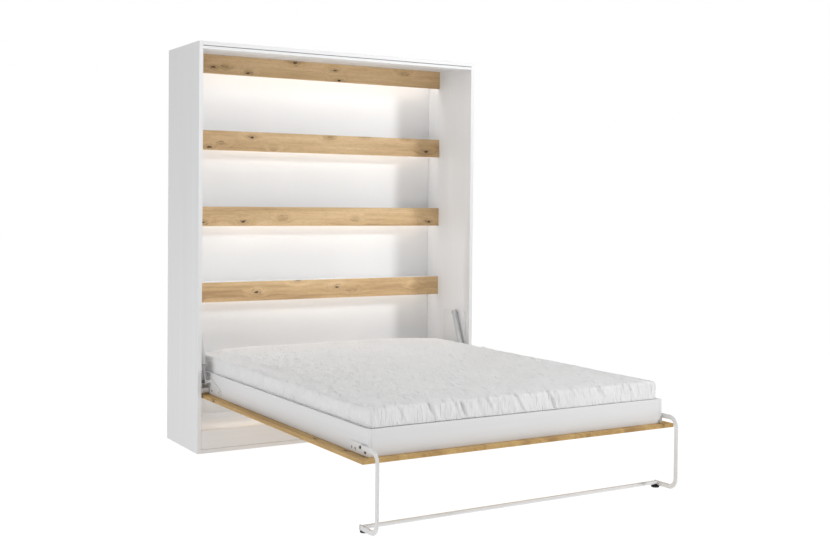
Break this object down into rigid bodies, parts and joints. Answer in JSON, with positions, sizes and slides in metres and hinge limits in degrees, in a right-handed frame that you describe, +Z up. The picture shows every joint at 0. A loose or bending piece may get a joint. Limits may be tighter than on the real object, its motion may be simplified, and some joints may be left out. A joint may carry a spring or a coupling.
{
  "type": "murphy wall bed",
  "caption": "Vertical-fold wall bed: open white cabinet with lit oak headboard strips, a mattress box that swings up on side pivots with struts, and a flat-bar leg that folds over the foot.",
  "frame": {"origin": "centre of the cabinet's footprint, on the floor", "axes": "+Z up, +Y from the cabinet front to the wall, the lowered bed reaches towards -Y, +X to the right of someone facing the bed"},
  "size_m": [1.78, 2.3885, 2.24],
  "materials": {
    "white_board": "matt white melamine on chipboard",
    "white_back": "thin white lacquered fibreboard",
    "oak_strip": "knotty light oak decor, matt",
    "oak_panel": "knotty light oak decor, matt",
    "spruce": "planed spruce",
    "mattress_cover": "white crinkled knitted cover",
    "leg_enamel": "white powder coat, satin",
    "plate_enamel": "white powder coat, satin",
    "strut_grey": "grey lacquer, satin",
    "dark_steel": "dark zinc",
    "black_plastic": "black moulded plastic",
    "white_plastic": "white moulded plastic",
    "led_diffuser": "opal diffuser, lit neutral white"
  },
  "bodies": {
    "root": {"back_panel": "white_back", "base_panel": "white_board", "base_shelf": "white_board", "bed_pivot_pin_left": "plate_enamel", "bed_pivot_pin_right": "plate_enamel", "headboard_strip_1": "oak_strip", "headboard_strip_2": "oak_strip", "headboard_strip_3": "oak_strip", "headboard_strip_4": "oak_strip", "led_bar_1": "led_diffuser", "led_bar_2": "led_diffuser", "led_bar_3": "led_diffuser", "led_bar_4": "led_diffuser", "led_driver": "white_plastic", "light_shelf_1": "white_board", "light_shelf_2": "white_board", "light_shelf_3": "white_board", "light_shelf_4": "white_board", "mechanism_plate_left": "plate_enamel", "mechanism_plate_right": "plate_enamel", "plinth_board": "white_board", "side_panel_left": "white_board", "side_panel_right": "white_board", "strut_top_pin_left": "strut_grey", "strut_top_pin_right": "strut_grey", "top_panel": "white_board", "top_rail": "white_board", "wall_bracket_left": "plate_enamel", "wall_bracket_right": "plate_enamel"},
    "bed": {"centre_beam": "spruce", "foot_rail": "white_board", "front_panel": "oak_panel", "head_rail": "white_board", "hinge_plate_left": "plate_enamel", "hinge_plate_right": "plate_enamel", "leg_bracket_left": "leg_enamel", "leg_bracket_right": "leg_enamel", "leg_pivot_bolt_left": "dark_steel", "leg_pivot_bolt_right": "dark_steel", "mattress": "mattress_cover", "side_rail_left": "white_board", "side_rail_right": "white_board", "slat_ledger_left": "spruce", "slat_ledger_right": "spruce", "slat_roll_left": "spruce", "slat_roll_right": "spruce"},
    "leg": {"cross_tube": "leg_enamel", "glide_foot_left": "black_plastic", "glide_foot_right": "black_plastic", "leg_bar_left": "leg_enamel", "leg_bar_right": "leg_enamel", "leg_end_plug_left": "black_plastic", "leg_end_plug_right": "black_plastic"},
    "strut_cylinder_left": {"strut_cylinder_left": "strut_grey"},
    "strut_cylinder_right": {"strut_cylinder_right": "strut_grey"},
    "strut_rod_left": {"strut_rod_left": "strut_grey"},
    "strut_rod_right": {"strut_rod_right": "strut_grey"}
  },
  "joints": [
    {"name": "bed_fold", "type": "hinge", "parent": "root", "child": "bed", "pos_m": [0, -0.216, 0.334], "axis": [-1, 0, 0], "range_deg": [0, 90]},
    {"name": "leg_fold", "type": "hinge", "parent": "bed", "child": "leg", "pos_m": [0, -1.987, 0.354], "axis": [-1, 0, 0], "range_deg": [0, 192.01]},
    {"name": "strut_swing_left", "type": "hinge", "parent": "root", "child": "strut_cylinder_left", "pos_m": [-0.842, -0.122, 0.692], "axis": [1, 0, 0], "range_deg": [0, 14.86]},
    {"name": "strut_slide_left", "type": "slide", "parent": "strut_cylinder_left", "child": "strut_rod_left", "axis": [0, -0.3639, -0.9314], "range_m": [0, 0.01194]},
    {"name": "strut_swing_right", "type": "hinge", "parent": "root", "child": "strut_cylinder_right", "pos_m": [0.842, -0.122, 0.692], "axis": [1, 0, 0], "range_deg": [0, 14.86]},
    {"name": "strut_slide_right", "type": "slide", "parent": "strut_cylinder_right", "child": "strut_rod_right", "axis": [0, -0.3639, -0.9314], "range_m": [0, 0.01194]}
  ],
  "couplings": [
    {"joint": "leg_fold", "follows": "bed_fold", "ratio": 2.1333},
    {"joint": "strut_swing_left", "follows": "bed_fold", "ratio": 0.16501},
    {"joint": "strut_slide_left", "follows": "bed_fold", "m_per_rad": 0.0075887},
    {"joint": "strut_swing_right", "follows": "bed_fold", "ratio": 0.16501},
    {"joint": "strut_slide_right", "follows": "bed_fold", "m_per_rad": 0.0075887}
  ]
}
